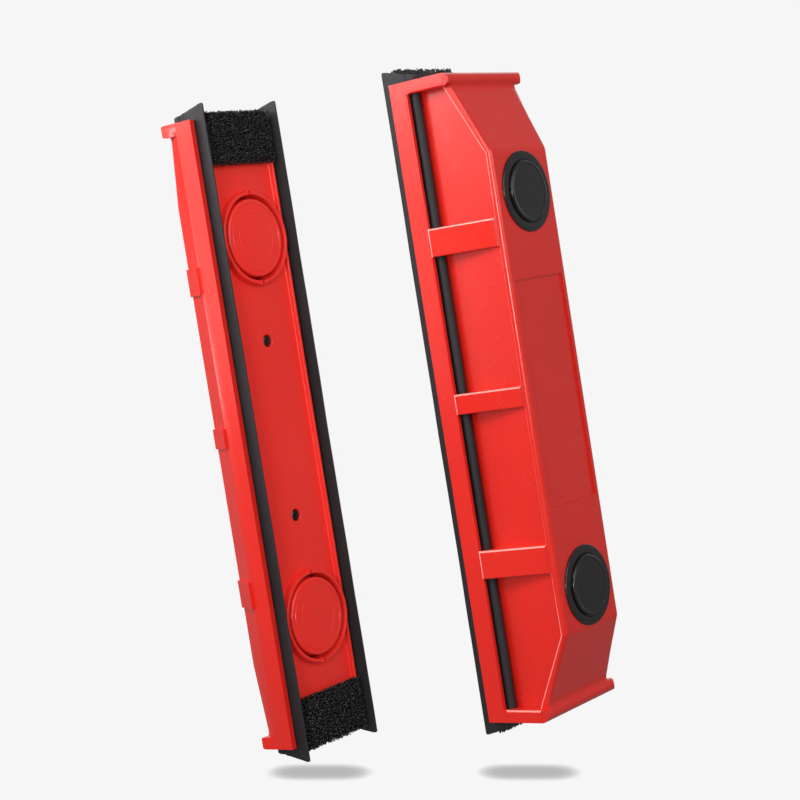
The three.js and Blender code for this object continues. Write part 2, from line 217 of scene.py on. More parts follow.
def satin_black(name):
    n = Nodes(name)
    cloud = n.noise(90.0, 4.0, 0.55)
    colour = n.mix(n.spread(cloud, 0.35, 0.68, 0.0, 1.0), (0.0085, 0.0062, 0.0062), (0.0130, 0.0100, 0.0100))
    dust = n.noise(1500.0, 2.0, 0.5)
    colour = n.mix(n.spread(dust, 0.70, 0.82, 0.0, 0.12), colour, (0.07, 0.066, 0.063))
    edge = n.add("ShaderNodeNewGeometry").outputs["Pointiness"]
    colour = n.mix(n.spread(edge, 0.515, 0.57, 0.0, 0.35), colour, (0.075, 0.07, 0.07))
    r = n.spread(n.noise(240.0, 4.0), 0.3, 0.7, 0.19, 0.27)
    grain = n.bump(n.noise(3400.0, 3.0, 0.6), 0.12, 0.00003)
    return n.finish(Base_Color=colour, Roughness=r, Normal=grain, IOR=1.5)


def moulded_rubber(name):
    n = Nodes(name)
    cloud = n.noise(45.0, 4.0, 0.55, n.scaled(1.0, 1.0, 0.25))
    colour = n.mix(n.spread(cloud, 0.35, 0.68, 0.0, 1.0), (0.0150, 0.0146, 0.0165), (0.0225, 0.0218, 0.0240))
    bloom = n.noise(700.0, 4.0, 0.65)
    colour = n.mix(n.spread(bloom, 0.60, 0.82, 0.0, 0.25), colour, (0.055, 0.055, 0.058))
    edge = n.add("ShaderNodeNewGeometry").outputs["Pointiness"]
    colour = n.mix(n.spread(edge, 0.52, 0.58, 0.0, 0.3), colour, (0.070, 0.069, 0.072))
    drawn = n.noise(900.0, 2.0, 0.5, n.scaled(1.0, 1.0, 0.04))
    r = n.spread(cloud, 0.3, 0.7, 0.50, 0.62)
    lines = n.bump(drawn, 0.25, 0.00005)
    skin = n.bump(n.noise(4200.0, 3.0, 0.65), 0.3, 0.00003, lines)
    return n.finish(Base_Color=colour, Roughness=r, Normal=skin, IOR=1.36)


def pile(name, light):
    n = Nodes(name)
    tone = n.noise(620.0, 3.0, 0.6)
    colour = n.mix(n.spread(tone, 0.35, 0.68, 0.0, 1.0), tuple(0.55 * c for c in light), light)
    # painted glints: bright specks in the fibre colour stand in for highlights on the loops
    painted_glint = n.noise(1500.0, 1.0, 0.5)
    colour = n.mix(n.spread(painted_glint, 0.60, 0.68, 0.0, 0.85), colour, tuple(15.0 * c for c in light))
    twist = n.bump(n.noise(6000.0, 2.0, 0.5), 0.3, 0.00003)
    return n.finish(Base_Color=colour, Roughness=n.spread(tone, 0.3, 0.7, 0.12, 0.24), Normal=twist, IOR=1.55)


def metal(name, low, high, rough, across=(1.0, 1.0, 1.0)):
    n = Nodes(name)
    cloud = n.noise(120.0, 4.0, 0.6)
    colour = n.mix(n.spread(cloud, 0.3, 0.7, 0.0, 1.0), low, high)
    brushed = n.noise(1600.0, 2.0, 0.5, n.scaled(*across))
    r = n.sum(n.spread(cloud, 0.3, 0.7, rough, rough + 0.12), n.spread(brushed, 0.3, 0.7, 0.0, 0.08))
    return n.finish(Base_Color=colour, Metallic=1.0, Roughness=r, Normal=n.bump(brushed, 0.2, 0.00003))


RED = moulded_red("red_gloss", (0.71, 0.0190, 0.0110), (0.665, 0.0155, 0.0090), 0.23, 0.20)
# painted highlight: a pale pink red that stands in for the light caught by the rounded frame edges
RED_PAINTED_HIGHLIGHT = moulded_red("red_gloss_painted_highlight", (1.0, 0.290, 0.250), (0.96, 0.220, 0.185), 0.20, 0.20)
# satin red of the base plates and cups; its base colour is also painted lighter than the shell red, standing in for
# more light falling on these faces
RED_IN_PAINTED_LIGHTER = moulded_red("red_satin_painted_lighter", (0.93, 0.0370, 0.0260), (0.88, 0.0310, 0.0220), 0.34, 0.10)
BLACK = satin_black("black_satin")
RUBBER = moulded_rubber("rubber_dark")
PILE = pile("pile_black", (0.0080, 0.0077, 0.0084))
PILE_BASE = pile("pile_backing", (0.0060, 0.0058, 0.0062))
STEEL = metal("steel_black", (0.045, 0.045, 0.05), (0.08, 0.08, 0.085), 0.30)
DISC_STEEL = metal("steel_mill", (0.40, 0.40, 0.41), (0.55, 0.55, 0.56), 0.34, (0.08, 1.0, 1.0))
NICKEL = metal("nickel_plate", (0.60, 0.59, 0.57), (0.74, 0.73, 0.70), 0.16)


# ---------------------------------------------------------------- mesh helpers, local millimetres
def link(obj):
    bpy.context.scene.collection.objects.link(obj)
    return obj


def make(name, verts, faces):
    me = bpy.data.meshes.new(name)
    me.from_pydata([tuple(map(float, v)) for v in verts], [], [tuple(int(i) for i in f) for f in faces])
    me.update()
    return link(bpy.data.objects.new(name, me))


def from_bm(name, bm):
    me = bpy.data.meshes.new(name)
    bm.to_mesh(me)
    bm.free()
    me.update()
    return link(bpy.data.objects.new(name, me))


def outward(obj):
    bm = bmesh.new()
    bm.from_mesh(obj.data)
    bmesh.ops.recalc_face_normals(bm, faces=bm.faces)
    if bm.calc_volume(signed=True) < 0:
        bmesh.ops.reverse_faces(bm, faces=bm.faces)
    bm.to_mesh(obj.data)
    bm.free()
    return obj


def rounded(points, radii, steps=4):
    """A closed outline with its corners rounded; radii is one number or one per corner."""
    n = len(points)
    if not hasattr(radii, "__len__"):
        radii = [radii] * n
    out = []
    for i in range(n):
        p, a, b, r = Vector(points[i]), Vector(points[i - 1]), Vector(points[(i + 1) % n]), radii[i]
        u, v = (a - p), (b - p)
        lu, lv = u.length, v.length
        u.normalize()
        v.normalize()
        angle = u.angle(v)
        if r < 1e-6 or angle > math.pi - 0.02:
            out.append(tuple(p))
            continue
        cut = min(r / math.tan(angle / 2), 0.49 * lu, 0.49 * lv)
        r = cut * math.tan(angle / 2)
        centre = p + (u + v).normalized() * (r / math.sin(angle / 2))
        s, e = p + u * cut - centre, p + v * cut - centre
        turn = s.angle_signed(e)
        for k in range(steps + 1):
            t = -turn * k / steps
            out.append((centre.x + s.x * math.cos(t) - s.y * math.sin(t), centre.y + s.x * math.sin(t) + s.y * math.cos(t)))
    return out


def prism(name, points, z0, z1, along="z"):
    """An outline drawn out along z, or along x when its points are (z, y)."""
    n = len(points)
    if along == "z":
        v = [(x, y, z0) for x, y in points] + [(x, y, z1) for x, y in points]
    else:
        v = [(z0, y, z) for z, y in points] + [(z1, y, z) for z, y in points]
    f = [tuple(range(n)), tuple(range(2 * n - 1, n - 1, -1))]
    f += [(i, (i + 1) % n, n + (i + 1) % n, n + i) for i in range(n)]
    return outward(make(name, v, f))


def block(name, x0, x1, y0, y1, z0, z1):
    return prism(name, [(x0, y0), (x1, y0), (x1, y1), (x0, y1)], z0, z1)


def lathe(name, profile, z=0.0, seg=128, closed=False):
    """A turned solid about the line x = 0 along y. profile is [radius, y]; it starts and ends on the axis unless closed."""
    verts, rings = [], []
    for r, y in profile:
        if r < 1e-6:
            rings.append([len(verts)])
            verts.append((0.0, y, z))
        else:
            rings.append(list(range(len(verts), len(verts) + seg)))
            verts += [(r * math.cos(2 * math.pi * k / seg), y, z + r * math.sin(2 * math.pi * k / seg)) for k in range(seg)]
    faces = []
    pairs = list(zip(rings, rings[1:])) + ([(rings[-1], rings[0])] if closed else [])
    for a, b in pairs:
        for k in range(seg):
            j = (k + 1) % seg
            if len(a) == 1 and len(b) == 1:
                continue
            if len(a) == 1:
                faces.append((a[0], b[j], b[k]))
            elif len(b) == 1:
                faces.append((a[k], a[j], b[0]))
            else:
                faces.append((a[k], a[j], b[j], b[k]))
    return outward(make(name, verts, faces))


def evaluated(obj):
    bpy.context.view_layer.update()
    dg = bpy.context.evaluated_depsgraph_get()
    me = bpy.data.meshes.new_from_object(obj.evaluated_get(dg), depsgraph=dg)
    obj.modifiers.clear()
    old = obj.data
    obj.data = me
    if old.users == 0:
        bpy.data.meshes.remove(old)
    return obj


def boolean(a, b, op):
    m = a.modifiers.new("cut", "BOOLEAN")
    m.operation, m.object, m.solver = op, b, "EXACT"
    evaluated(a)
    bpy.data.objects.remove(b)
    return a


def unite(parts):
    out = parts[0]
    for p in parts[1:]:
        boolean(out, p, "UNION")
    return out


def tidy(obj, merge=0.002, flat=0.6):
    """Joins split points and dissolves the flat seams that booleans and triangles leave."""
    bm = bmesh.new()
    bm.from_mesh(obj.data)
    bmesh.ops.remove_doubles(bm, verts=bm.verts, dist=merge)
    bmesh.ops.dissolve_limit(bm, angle_limit=math.radians(flat), verts=bm.verts, edges=bm.edges, delimit=set())
    bmesh.ops.dissolve_degenerate(bm, dist=merge, edges=bm.edges)
    bm.to_mesh(obj.data)
    bm.free()
    obj.data.update()
    return obj


def soften(obj, choose, width, steps, clamp=True, slot=-1):
    """Rounds the edges that choose(edge, middle, normal, normal) picks, by width; slot is the material of the new faces."""
    bm = bmesh.new()
    bm.from_mesh(obj.data)
    bm.normal_update()
    chosen = []
    for e in bm.edges:
        if len(e.link_faces) == 2 and choose(e, (e.verts[0].co + e.verts[1].co) / 2, e.link_faces[0].normal, e.link_faces[1].normal):
            chosen.append(e)
    bmesh.ops.bevel(bm, geom=chosen, offset=width, offset_type="OFFSET", segments=steps, profile=0.5, affect="EDGES",
                    clamp_overlap=clamp, loop_slide=True, material=slot, miter_outer="SHARP", miter_inner="SHARP", harden_normals=False)
    bmesh.ops.remove_doubles(bm, verts=bm.verts, dist=0.0005)
    bm.to_mesh(obj.data)
    bm.free()
    obj.data.update()
    return obj


def shade(obj, angle=32.0, weighted=True):
    me = obj.data
    me.polygons.foreach_set("use_smooth", [True] * len(me.polygons))
    me.set_sharp_from_angle(angle=math.radians(angle))
    if weighted:
        m = obj.modifiers.new("weighted", "WEIGHTED_NORMAL")
        m.keep_sharp = True
        m.weight = 60
    return obj


def place(obj, half, material, body=None, stands_for=(), extra=()):
    obj.data.transform(half.matrix if isinstance(half, Half) else half)
    kinds = [min(p.material_index, len(extra)) for p in obj.data.polygons]
    obj.data.materials.clear()
    for m in (material, *extra):
        obj.data.materials.append(m)
    obj.data.polygons.foreach_set("material_index", kinds)
    obj.data.update()
    if body:
        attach(obj, body)
    if stands_for:
        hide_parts(*stands_for)
    return obj


# ---------------------------------------------------------------- shells: the CAD form with rounded edges
RAIL_H = 9.0


def shell(half):
    src = frame["nodes"][half.label + "_shell"]
    me = src.data.copy()
    me.transform(half.matrix.inverted())
    for a in list(me.attributes):
        if a.name.startswith("UV") or a.domain == "CORNER" and not a.is_internal and not a.is_required:
            me.attributes.remove(a)
    obj = link(bpy.data.objects.new(half.label + "_shell_moulded", me))
    tidy(obj, 0.004, 0.5)
    D = half.depth

    def crown(e, mid, a, b):
        """The long edges of the outer face and the slopes, and the creases between them."""
        outer_a, outer_b = a.y < -0.6 and abs(a.x) < 0.1, b.y < -0.6 and abs(b.x) < 0.1
        side = (abs(a.x) > 0.8 and outer_b) or (abs(b.x) > 0.8 and outer_a)
        crease = outer_a and outer_b and abs(a.z - b.z) > 0.12 and abs(abs(mid.z) - 104) < 2 and e.calc_length() > 20
        return abs(mid.z) < 134.9 and ((side and e.calc_length() > 6 and abs(mid.x) > 20) or crease)

    def rest(e, mid, a, b):
        if abs(mid.x) < 19.6 and mid.y > -D + 1.2 and abs(mid.z) < 133.5:
            return False
        return e.calc_length() > 0.9 and a.angle(b, 0) > math.radians(24)

    def frame_edges(e, mid, a, b):
        """Long edges of the side frame: ribs, the border round the openings and the rails."""
        flank = e.is_convex and max(abs(a.x), abs(b.x)) > 0.8 and abs(mid.x) > 20.5 and not half.turned
        raised = max(a.y, b.y) > 0.5 or max(a.z, b.z) > 0.8      # these face up or towards the glass side, where the light falls; their bevels get the painted highlight red
        return flank and raised == pale and e.calc_length() > 7 and abs(mid.z) < 134.9 and mid.y < -RAIL_H + 0.5 and a.angle(b, 0) > math.radians(50)

    soften(obj, crown, 0.42 if half.turned else 1.7, 5, False)      # the slim half's ribs reach its edges
    # the first pass paints the highlight: bevels of the edges facing up or towards the glass side get slot 1, the
    # painted highlight red
    for pale in (True, False):
        soften(obj, frame_edges, 0.75, 4, False, 1 if pale else -1)
    soften(obj, rest, 0.45, 3, True)
    shade(obj, 30.0)
    place(obj, half, RED, half.body("half"), (half.label + "_shell",), (RED_PAINTED_HIGHLIGHT,))
    return obj


for h in HALVES:
    shell(h)


# ---------------------------------------------------------------- base plates
PLATE_Y0, PLATE_T, PLATE_Z = -0.6, 2.6, 134.7
PAD_LO, PAD_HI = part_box("front_pad_upper")
PAD_Z0, PAD_Z1, PAD_X = PAD_LO.z / MM, PAD_HI.z / MM, (PAD_HI.x - PAD_LO.x) / 2 / MM
RING_R0, RING_Y, RIM_X, RIM_Y, WALL_X = 19.0, 2.6, 19.6, 1.6, 21.0


def ring_arc(name, z, start, end, steps=72):
    """Half of the split ring round a magnet cup: a tapering wall whose ends swell into small catches."""
    verts, faces = [], []
    for i in range(steps + 1):
        t = i / steps
        a = start + (end - start) * t
        near = max(0.0, 1 - min(t, 1 - t) * abs(end - start) * 20.0 / 2.6)
        swell = near * near * (3 - 2 * near)
        section = rounded([(RING_R0 + 0.02, PLATE_Y0 - 1.2), (21.0 + 0.35 * swell, PLATE_Y0 - 1.2), (21.0 + 0.35 * swell, PLATE_Y0 + 0.25),
                           (20.7 + 0.65 * swell, RING_Y + 0.25 * swell), (RING_R0 + 0.32, RING_Y + 0.25 * swell), (RING_R0 + 0.02, PLATE_Y0)], [0, 0, 0, 0.3, 0.22, 0], 4)
        ring = [(r * math.cos(a), y, z + r * math.sin(a)) for r, y in section]
        verts += ring
    n = len(section)
    faces = [(i * n + k, i * n + (k + 1) % n, (i + 1) * n + (k + 1) % n, (i + 1) * n + k) for i in range(steps) for k in range(n)]
    faces += [tuple(range(n)), tuple(range(steps * n + n - 1, steps * n - 1, -1))]
    return outward(make(name, verts, faces))


def mirrored(obj):
    """Joins an upper half that ends in a flat cut at z = 0 to its mirror image."""
    bm = bmesh.new()
    bm.from_mesh(obj.data)
    bmesh.ops.delete(bm, geom=[f for f in bm.faces if all(abs(v.co.z) < 0.001 for v in f.verts)], context="FACES")
    copy = bmesh.ops.duplicate(bm, geom=bm.verts[:] + bm.edges[:] + bm.faces[:])["geom"]
    for v in copy:
        if isinstance(v, bmesh.types.BMVert):
            v.co.z = -v.co.z
    bmesh.ops.reverse_faces(bm, faces=[f for f in copy if isinstance(f, bmesh.types.BMFace)])
    bmesh.ops.remove_doubles(bm, verts=[v for v in bm.verts if abs(v.co.z) < 0.001], dist=0.002)
    bm.to_mesh(obj.data)
    bm.free()
    obj.data.update()
    return obj


def base_plate(half):
    back = PLATE_Y0 - PLATE_T
    right = [(WALL_X, back), (WALL_X, RIM_Y), (RIM_X, RIM_Y), (RIM_X, PLATE_Y0)]
    pts = right + [(-x, y) for x, y in reversed(right)]
    radii = [0.2, 0.35, 0.35, 0.5, 0.5, 0.35, 0.35, 0.2]
    p = prism("plate", rounded(pts, radii, 4), 0, PLATE_Z)
    z = MAGNET_Z
    boolean(p, block("cut", -30, 30, PLATE_Y0 - 0.01, 9, PAD_Z0 - 0.3, 150), "DIFFERENCE")      # the rims stop at the pads
    boolean(p, lathe("cut", [(0, -9), (19.1, -9), (19.1, PLATE_Y0 - 0.03), (20.2, PLATE_Y0 - 0.03), (20.2, 9), (0, 9)], z, 128), "DIFFERENCE")
    boolean(p, lathe("cut", [(0, -9), (1.6, -9), (1.6, PLATE_Y0 - 1.6), (2.8, PLATE_Y0 - 1.6), (2.8, PLATE_Y0 - 0.25), (3.15, PLATE_Y0 + 0.1), (3.15, 9), (0, 9)], SCREW_Z, 48), "DIFFERENCE")
    slit = math.asin(0.75 / 20.0)
    for a0, a1 in ((math.pi / 2 + slit, 3 * math.pi / 2 - slit), (-math.pi / 2 + slit, math.pi / 2 - slit)):
        boolean(p, ring_arc("arc", z, a0, a1), "UNION")
    tube = [(17.9, -11.8), (19.0, -11.8), (19.0, -7.6), (19.9, -7.2), (19.9, back + 0.6), (18.9, back + 0.6), (18.9, -6.8), (17.9, -7.2)]
    boolean(p, lathe("tube", tube, z, 128, True), "UNION")
    mirrored(p)
    p.name = half.label + "_base_plate_moulded"
    shade(p, 32.0)
    return place(p, half, RED_IN_PAINTED_LIGHTER, half.body("half"), (half.label + "_base_plate",))


for h in HALVES:
    base_plate(h)


# ---------------------------------------------------------------- turned parts
def cup_profile():
    top = 2.5

    def score(r, w=0.55, d=0.22):
        return [(r + w / 2, top), (r + w * 0.22, top - d), (r - w * 0.22, top - d), (r - w / 2, top)]

    face = [(0, 0.7), (16.2, 0.7), (16.2, -14.8), (18.55, -14.8), (18.8, -14.6), (18.8, -13.8), (18.6, -13.6), (17.5, -13.6), (17.5, top - 1.0)]
    for k in range(1, 7):      # rounded shoulder
        a = math.pi / 2 * k / 6
        face.append((16.5 + 1.0 * math.cos(a), top - 1.0 + 1.0 * math.sin(a)))
    return face + score(15.2) + score(10.8, 0.4, 0.12) + [(0, top)]


def plug_profile(D):
    o = -D
    pts = [(0, o + 1.2), (14.2, o + 1.2), (14.2, o + 5), (15.5, o + 5), (15.75, o + 4.7), (15.75, o - 0.05), (17.5, o - 0.05)]
    for k in range(0, 6):      # outer edge of the flange
        a = math.pi / 2 * k / 5
        pts.append((17.0 + 0.5 * math.cos(a), o - 0.35 - 0.5 * math.sin(a)))
    pts += [(15.2, o - 0.9), (14.0, o - 0.86), (13.7, o - 0.55), (13.2, o - 0.5)]
    for k in range(0, 8):      # shoulder of the raised middle
        a = math.pi / 2 * k / 7
        pts.append((12.45 + 0.75 * math.cos(a), o - 1.3 - 0.75 * math.sin(a)))
    return pts + [(12.0, o - 2.02), (11.7, o - 1.86), (11.3, o - 1.84), (8, o - 1.9), (0, o - 1.9)]


def screw_head(name):
    """A pan head screw with a cross recess, about x = 0, z = 0."""
    y = PLATE_Y0 - 0.3
    pts = [(0, y - 9.7), (1.2, y - 8.9), (1.2, y - 1.2), (2.35, y - 1.2), (2.5, y - 1.05), (2.5, y - 0.75)]
    for k in range(1, 7):
        a = math.pi / 2 * k / 6
        pts.append((1.5 + 1.0 * math.cos(a), y - 0.75 + 0.75 * math.sin(a)))
    s = lathe(name, pts + [(0, y)], 0, 48)
    w = 0.3
    cross = [(w, w), (1.45, w), (1.45, -w), (w, -w), (w, -1.45), (-w, -1.45), (-w, -w), (-1.45, -w), (-1.45, w), (-w, w), (-w, 1.45), (w, 1.45)]
    v = [(x * 0.55, y - 0.95, z * 0.55) for x, z in cross] + [(x, y + 0.4, z) for x, z in cross]
    n = len(cross)
    f = [tuple(range(n)), tuple(range(2 * n - 1, n - 1, -1))] + [(i, (i + 1) % n, n + (i + 1) % n, n + i) for i in range(n)]
    return boolean(s, outward(make("cross", v, f)), "DIFFERENCE")


for h in HALVES:
    for end, s in ENDS:
        cup = lathe(h.label + "_magnet_cup_turned_" + end, cup_profile(), s * MAGNET_Z, 160)
        shade(cup, 40.0)
        place(cup, h, RED_IN_PAINTED_LIGHTER, h.body("cartridge_" + end), (h.label + "_magnet_cup_" + end,))
        plug = lathe(h.label + "_plug_cover_" + end, plug_profile(h.depth), s * MAGNET_Z, 160)
        shade(plug, 40.0)
        place(plug, h, BLACK, h.body("half"), (h.label + "_plug_" + end,))
        screw = screw_head(h.label + "_screw_cross_" + end)
        screw.data.transform(Matrix.Translation((0, 0, s * SCREW_Z)) @ Matrix.Rotation(0.5 + 0.8 * s, 4, "Y"))
        shade(screw, 34.0)
        place(screw, h, STEEL, h.body("half"), (h.label + "_screw_" + end,))


# ---------------------------------------------------------------- squeegees: bead, web and lip in one piece of rubber
def squeegee_section():
    bx, by, br = 23.6, -10.3, 2.0
    pts = []
    a0 = math.asin(1.0 / br)
    for k in range(25):        # round the bead, from the inner side of the web to the outer side
        a = math.pi / 2 + a0 + (2 * math.pi - 2 * a0) * k / 24
        pts.append((bx + br * math.cos(a), by + br * math.sin(a)))
    outer = [(24.6, -7.3), (24.72, -7.1), (25.02, -6.82), (25.05, -6.5), (25.02, -6.18), (24.72, -5.9), (24.6, -5.7), (24.6, -4.4), (24.6, -3.0), (24.58, -1.6),
             (24.52, -0.8), (24.47, -0.1), (24.46, 0.9), (24.48, 1.9), (24.5, 2.9), (24.53, 3.9), (24.55, 4.8), (24.55, 5.25), (24.47, 5.48), (24.3, 5.58)]
    inner = [(23.75, 5.6), (23.66, 5.52), (23.63, 5.3), (23.52, 4.8), (23.33, 3.9), (23.15, 2.9), (22.98, 1.9), (22.84, 0.9), (22.72, -0.1), (22.64, -0.8), (22.61, -1.6), (22.6, -3.0),
             (22.6, -4.4), (22.6, -5.7), (22.6, -7.3)]
    return pts + outer + inner


def squeegee(half, side, s):
    sec = np.array(squeegee_section())
    n = len(sec)
    centre = np.stack([np.full(n, 23.85), sec[:, 1]], 1)
    ends = 142.2 + 4.6 * (sec[:, 1] + 12.3) / 17.9
    corner = np.clip((sec[:, 1] - 4.2) / 1.4, 0, 1)      # the corner of the tip is rounded
    ends = ends - 1.3 * (1 - np.sqrt(1 - corner ** 2 * 0.999))
    rng = np.random.default_rng(11 + (s > 0) + 2 * half.turned)
    phase = rng.uniform(0, 6.28, 3)
    stations = np.concatenate([[-1.0, -0.9985], np.linspace(-0.992, 0.992, 91), [0.9985, 1.0]])
    rows = []
    for i, t in enumerate(stations):
        z = ends * t
        p = sec.copy()
        if i in (0, len(stations) - 1):      # the moulded ends are very slightly rounded
            p = p + np.clip(centre - p, -0.12, 0.12) * np.array([1.0, 0.0])
            bead = sec[:, 1] < -8.2
            p[bead] = np.array([23.6, -10.3]) + (p[bead] - np.array([23.6, -10.3])) * 0.94
        rise = np.clip((p[:, 1] + 1.0) / 6.6, 0, 1) ** 1.6
        wave = 0.11 * math.sin(z.mean() / 31.0 + phase[0]) + 0.07 * math.sin(z.mean() / 12.5 + phase[1]) + 0.05 * math.sin(z.mean() / 6.1 + phase[2])
        rows.append(np.stack([s * (p[:, 0] + wave * rise), p[:, 1], z], 1))
    verts = np.concatenate(rows)
    m = len(stations)
    faces = [(i * n + k, i * n + (k + 1) % n, (i + 1) * n + (k + 1) % n, (i + 1) * n + k) for i in range(m - 1) for k in range(n)]
    faces += [tuple(range(n)), tuple(range(m * n - 1, (m - 1) * n - 1, -1))]
    obj = outward(make("%s_squeegee_%s" % (half.label, side), verts, faces))
    shade(obj, 38.0, weighted=False)
    place(obj, half, RUBBER, None, ("%s_squeegee_root_%s" % (half.label, side), "%s_squeegee_lip_%s" % (half.label, side)))
    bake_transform(obj, half.body("half"), half.body("lip_" + side), start=tuple(half.point(s * 23.6, -1.2)), end=tuple(half.point(s * 23.6, 2.2)))
    return obj


for h in HALVES:
    for side, s in SIDES:
        squeegee(h, side, s)


# ---------------------------------------------------------------- scrubber pads: looped pile on a backing
def tubes(paths, radius, sides=5):
    """Closed round threads along each path: paths is (count, points, 3), radius one per thread."""
    count, m, _ = paths.shape
    tangent = np.gradient(paths, axis=1)
    tangent /= np.linalg.norm(tangent, axis=2, keepdims=True)
    flat = np.cross(paths[:, m // 2] - paths[:, 0], paths[:, -1] - paths[:, 0])
    flat /= np.linalg.norm(flat, axis=1, keepdims=True) + 1e-9
    flat = np.repeat(flat[:, None, :], m, axis=1)
    other = np.cross(tangent, flat)
    other /= np.linalg.norm(other, axis=2, keepdims=True) + 1e-9
    a = np.arange(sides) * 2 * math.pi / sides
    ring = flat[:, :, None, :] * np.cos(a)[None, None, :, None] + other[:, :, None, :] * np.sin(a)[None, None, :, None]
    verts = paths[:, :, None, :] + ring * radius[:, None, None, None]
    verts = verts.reshape(-1, 3)
    i = np.arange(m - 1)[:, None] * sides
    k = np.arange(sides)[None, :]
    quad = np.stack([i + k, i + (k + 1) % sides, i + sides + (k + 1) % sides, i + sides + k], -1).reshape(-1, 4)
    base = np.arange(count)[:, None, None] * (m * sides)
    quads = (quad[None] + base).reshape(-1, 4)
    caps = [tuple(c * m * sides + np.arange(sides)[::-1]) for c in range(count)]
    caps += [tuple(c * m * sides + (m - 1) * sides + np.arange(sides)) for c in range(count)]
    return verts, [tuple(q) for q in quads] + caps


def pad(half, end, s):
    rng = np.random.default_rng(101 + 7 * s + 31 * half.turned)
    z0, z1, px = PAD_Z0, PAD_Z1, PAD_X
    z1 = z1 - 2.2 if half.turned else z1 + 1.6      # the pile of the slim half is trimmed shorter
    bx, b0, b1 = px - 0.5, z0 + 0.5, z1 - 0.9
    outline = rounded([(-bx, b0), (bx, b0), (bx, b1), (-bx, b1)], 1.6, 6)
    levels = [(-0.3, 0.25), (0.0, 0.0), (1.3, 0.0), (1.75, 0.35), (1.85, 0.9)]
    cz, hz = (b0 + b1) / 2, (b1 - b0) / 2
    verts, n = [], len(outline)
    for y, inset in levels:
        verts += [(x * (bx - inset) / bx, y, s * (cz + (z - cz) * (hz - inset) / hz)) for x, z in outline]
    faces = [(i * n + k, i * n + (k + 1) % n, (i + 1) * n + (k + 1) % n, (i + 1) * n + k) for i in range(len(levels) - 1) for k in range(n)]
    faces += [tuple(range(n)), tuple(range(len(levels) * n - 1, (len(levels) - 1) * n - 1, -1))]
    backing = outward(make("backing", verts, faces))
    shade(backing, 40.0, weighted=False)

    # rows of loops, thinner and leaning out along the edges
    pitch = 1.12
    gx = np.arange(-px + 0.5, px - 0.3, pitch)
    gz = np.arange(z0 + 0.5, z1 - 0.6, pitch * 0.87)
    X, Z = np.meshgrid(gx, gz)
    X = X + (np.arange(len(gz)) % 2)[:, None] * pitch / 2
    X, Z = X.ravel(), Z.ravel()
    count = len(X)
    X = np.clip(X + rng.normal(0, 0.15, count), -px + 0.3, px - 0.3)
    Z = np.clip(Z + rng.normal(0, 0.15, count), z0 + 0.3, z1 - 0.5)
    turn = rng.normal(0.9, 0.75, count)
    width = rng.uniform(1.0, 1.6, count)
    high = rng.uniform(1.8, 2.6, count)
    out_x = np.clip((np.abs(X) - (px - 2.0)) / 2.0, 0, 1) * np.sign(X)
    out_z = np.clip((Z - (z1 - 2.4)) / 2.4, 0, 1) - np.clip(((z0 + 2.2) - Z) / 2.2, 0, 1)
    lean_x = rng.normal(0, 0.30, count) + 0.35 * out_x
    lean_z = rng.normal(0, 0.30, count) + np.where(out_z > 0, 1.5, 0.8) * out_z
    high = high * (1 - 0.25 * np.maximum(np.abs(out_x), np.abs(out_z)))
    steps = 10
    t = np.linspace(0.0, 1.0, steps)[None, :]
    ang = math.pi * t
    u = -np.cos(ang) * (width[:, None] / 2) * (1 + 0.40 * np.sin(ang))
    up = np.sin(ang) ** 0.8 * high[:, None]
    lift = np.sin(ang)
    wob = rng.normal(0, 0.12, (count, 1)) * np.sin(2 * ang)
    px_ = X[:, None] + u * np.cos(turn)[:, None] + lean_x[:, None] * lift ** 1.5 - wob * np.sin(turn)[:, None]
    pz_ = Z[:, None] + u * np.sin(turn)[:, None] + lean_z[:, None] * lift ** 1.5 + wob * np.cos(turn)[:, None]
    paths = np.stack([px_, 1.55 + up, s * pz_], -1)
    v1, f1 = tubes(paths, rng.uniform(0.16, 0.22, count))

    # loops and cut threads that stand out along the two long edges
    extra = 420
    to_end = rng.uniform(0, 1, extra) < 0.62
    EX = rng.uniform(-px + 0.2, px - 0.2, extra)
    EZ = np.where(to_end, b1 - 0.25, b0 + 0.25)
    out = np.where(to_end, 1.0, -1.0)
    low = rng.uniform(0.0, 1.5, extra)
    reach = rng.uniform(0.7, 2.0, extra) * np.where(to_end, 1.0 if half.turned else 1.3, 0.55)
    rise = rng.uniform(0.2, 1.2, extra)
    turn = rng.normal(0, 0.5, extra)
    width = rng.uniform(0.8, 1.3, extra)
    steps = 9
    t = np.linspace(0, 1, steps)[None, :]
    ang = math.pi * t
    u = -np.cos(ang) * (width[:, None] / 2)
    paths = np.stack([EX[:, None] + u * np.cos(turn)[:, None],
                      low[:, None] + u * np.sin(turn)[:, None] + rise[:, None] * np.sin(ang),
                      s * (EZ[:, None] + out[:, None] * reach[:, None] * np.sin(ang) ** 0.8)], -1)
    v2, f2 = tubes(paths, rng.uniform(0.13, 0.18, extra), 5)
    nb = len(backing.data.vertices)
    verts = [tuple(v.co) for v in backing.data.vertices] + [tuple(v) for v in v1] + [tuple(v) for v in v2]
    faces = [tuple(p.vertices) for p in backing.data.polygons]
    kinds = [1] * len(faces) + [0] * (len(f1) + len(f2))
    faces += [tuple(int(i) + nb for i in f) for f in f1] + [tuple(int(i) + nb + len(v1) for i in f) for f in f2]
    bpy.data.objects.remove(backing)
    obj = make("%s_pad_pile_%s" % (half.label, end), verts, faces)
    obj.data.polygons.foreach_set("use_smooth", [True] * len(faces))
    place(obj, half, PILE, half.body("half"), ("%s_pad_%s" % (half.label, end),), (PILE_BASE,))
    obj.data.polygons.foreach_set("material_index", kinds)
    obj.data.update()
    bm = bmesh.new()
    bm.from_mesh(obj.data)
    bmesh.ops.recalc_face_normals(bm, faces=bm.faces)
    bm.to_mesh(obj.data)
    bm.free()
    return obj


for h in HALVES:
    for end, s in ENDS:
        pad(h, end, s)


